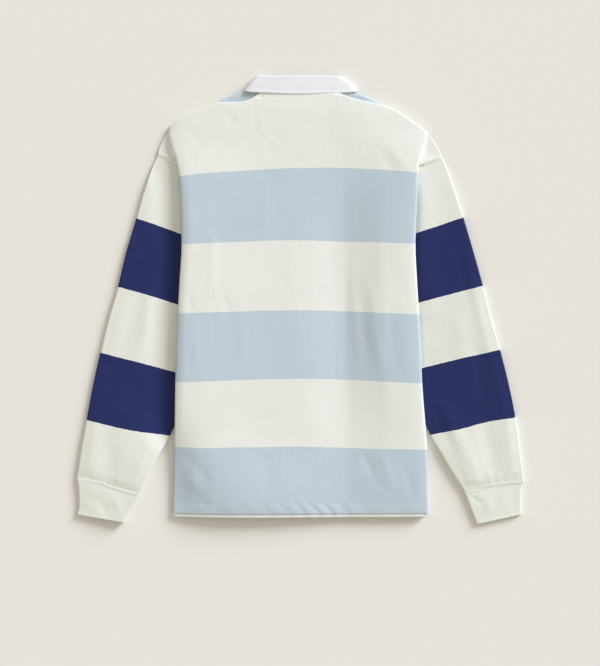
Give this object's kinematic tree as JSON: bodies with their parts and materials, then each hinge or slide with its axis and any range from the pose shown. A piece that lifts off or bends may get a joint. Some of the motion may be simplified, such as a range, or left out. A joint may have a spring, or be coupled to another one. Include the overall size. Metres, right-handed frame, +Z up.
{
  "type": "rugby shirt",
  "caption": "Long-sleeved striped rugby shirt laid flat, back up, with twill collar, concealed placket, rib cuffs and sleeves partly under the body.",
  "frame": {"origin": "middle of the shirt's outline, on its underside where it rests", "axes": "+Z up out of the back of the shirt, +Y towards the collar, +X to the right as the back is seen"},
  "size_m": [0.7594, 0.7616, 0.0105],
  "materials": {
    "body_jersey": "heavy cotton jersey, wide cream and light blue stripes",
    "sleeve_jersey": "heavy cotton jersey, cream with two navy bands on each sleeve",
    "collar_twill": "white cotton twill",
    "placket_twill": "white cotton twill",
    "cuff_rib": "cream rib knit"
  },
  "bodies": {
    "root": {"back_panel": "body_jersey", "front_panel": "body_jersey", "placket": "placket_twill", "sleeve_left": "sleeve_jersey", "sleeve_right": "sleeve_jersey", "cuff_left": "cuff_rib", "cuff_right": "cuff_rib", "collar": "collar_twill"}
  },
  "joints": []
}
